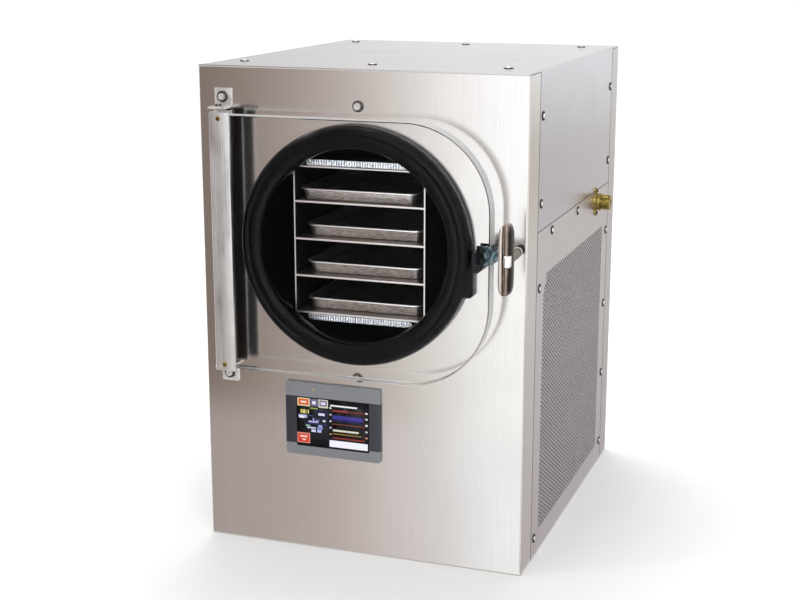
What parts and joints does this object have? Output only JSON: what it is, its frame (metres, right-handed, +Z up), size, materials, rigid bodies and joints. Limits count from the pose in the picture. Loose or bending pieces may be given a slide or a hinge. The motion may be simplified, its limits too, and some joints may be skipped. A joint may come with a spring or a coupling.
{
  "type": "freeze dryer",
  "caption": "Bench-top vacuum freeze dryer: folded steel cabinet, round chamber with clear D-shaped hinged door, turning latch handle, tray rack, touch display, vented sides and hose port",
  "frame": {"origin": "middle of the cabinet's footprint, on the surface that it stands on", "axes": "+X to the right seen from the front, +Y to the back, +Z up; the door faces -Y"},
  "size_m": [0.568, 0.6937, 0.7424],
  "materials": {
    "brushed_stainless": "vertical and horizontal fine brushed grain, semi-matte",
    "galvanised_steel": "dull zinc-coated sheet",
    "screw_steel": "plain bright steel screws",
    "chamber_steel": "dark coated steel chamber",
    "foam": "rigid foam jacket",
    "copper": "drawn copper tube",
    "black_rubber": "smooth moulded seal, satin",
    "zinc_plated": "bluish zinc plating",
    "clear_acrylic": "polished clear acrylic",
    "satin_nickel": "satin nickel plating",
    "black_steel": "black oxide steel",
    "grey_plastic": "moulded grey plastic",
    "screen_glass": "dark glass touch screen",
    "lamp_lens": "clear moulded lens",
    "rack_steel": "plain rolled stainless",
    "foil": "crinkled foil",
    "tray_steel": "satin pressed stainless",
    "brass": "turned brass, slightly dulled",
    "compressor_black": "black enamel",
    "fin_aluminium": "thin rolled fins",
    "shroud_steel": "black powder coat",
    "fan_plastic": "black moulded plastic",
    "lever_red": "red dipped lever",
    "black_plastic": "black moulded plastic",
    "board": "green laminate",
    "bronze": "oiled bronze"
  },
  "bodies": {
    "cabinet": {"front_panel": "brushed_stainless", "top_cover": "brushed_stainless", "left_side_cover": "brushed_stainless", "right_side_cover": "brushed_stainless", "rear_panel": "brushed_stainless", "base_pan": "galvanised_steel", "cabinet_frame": "galvanised_steel", "chamber_deck": "galvanised_steel", "cover_screws": "screw_steel", "vacuum_chamber": "chamber_steel", "chamber_insulation": "foam", "refrigerant_coil": "copper", "gasket_ring": "black_rubber", "panel_bolts": "screw_steel", "panel_washers": "screw_steel", "upper_hinge_bracket": "brushed_stainless", "lower_hinge_bracket": "brushed_stainless", "hinge_pins": "screw_steel", "latch_catch": "black_steel", "latch_catch_screws": "screw_steel", "display_bezel": "grey_plastic", "touch_screen": "screen_glass", "status_lamp": "lamp_lens", "rack_left_side": "rack_steel", "rack_right_side": "rack_steel", "rack_top_plate": "rack_steel", "shelf_1": "rack_steel", "shelf_2": "rack_steel", "shelf_3": "rack_steel", "shelf_4": "rack_steel", "upper_foil_pad": "foil", "lower_foil_pad": "foil", "tray_1": "tray_steel", "tray_2": "tray_steel", "tray_3": "tray_steel", "tray_4": "tray_steel", "vacuum_port": "brass", "vacuum_port_screws": "black_steel", "vacuum_tube": "copper", "compressor": "compressor_black", "condenser_coil": "fin_aluminium", "fan_shroud": "shroud_steel", "fan_motor": "shroud_steel", "drain_valve": "brass", "power_inlet": "black_plastic", "switch_frame": "black_plastic", "circuit_board": "board"},
    "fan": {"fan_blades": "fan_plastic"},
    "switch": {"switch_rocker": "black_plastic"},
    "drain_handle": {"drain_lever": "lever_red"},
    "door": {"door_panel": "clear_acrylic", "hinge_bar": "brushed_stainless", "hinge_bar_screws": "brass", "hinge_bushes": "bronze", "latch_bracket": "zinc_plated", "latch_bracket_bolts": "screw_steel"},
    "latch": {"handle_grip": "satin_nickel", "handle_shaft": "satin_nickel", "latch_pawl": "black_steel", "pawl_nut": "zinc_plated"}
  },
  "joints": [
    {"name": "door_hinge", "type": "hinge", "parent": "cabinet", "child": "door", "pos_m": [-0.213, -0.3205, 0.4824], "axis": [0, 0, -1], "range_deg": [0, 110]},
    {"name": "latch_turn", "type": "hinge", "parent": "door", "child": "latch", "pos_m": [0.2425, -0.3605, 0.493], "axis": [0, -1, 0], "range_deg": [0, 40]},
    {"name": "fan_spin", "type": "hinge", "parent": "cabinet", "child": "fan", "pos_m": [0.1875, 0.0125, 0.1195], "axis": [1, 0, 0], "continuous": true},
    {"name": "switch_rock", "type": "hinge", "parent": "cabinet", "child": "switch", "pos_m": [-0.115, 0.2995, 0.07], "axis": [-1, 0, 0], "range_deg": [0, 18]},
    {"name": "drain_turn", "type": "hinge", "parent": "cabinet", "child": "drain_handle", "pos_m": [-0.27, 0.1675, 0.0755], "axis": [0, 0, -1], "range_deg": [0, 90]}
  ]
}
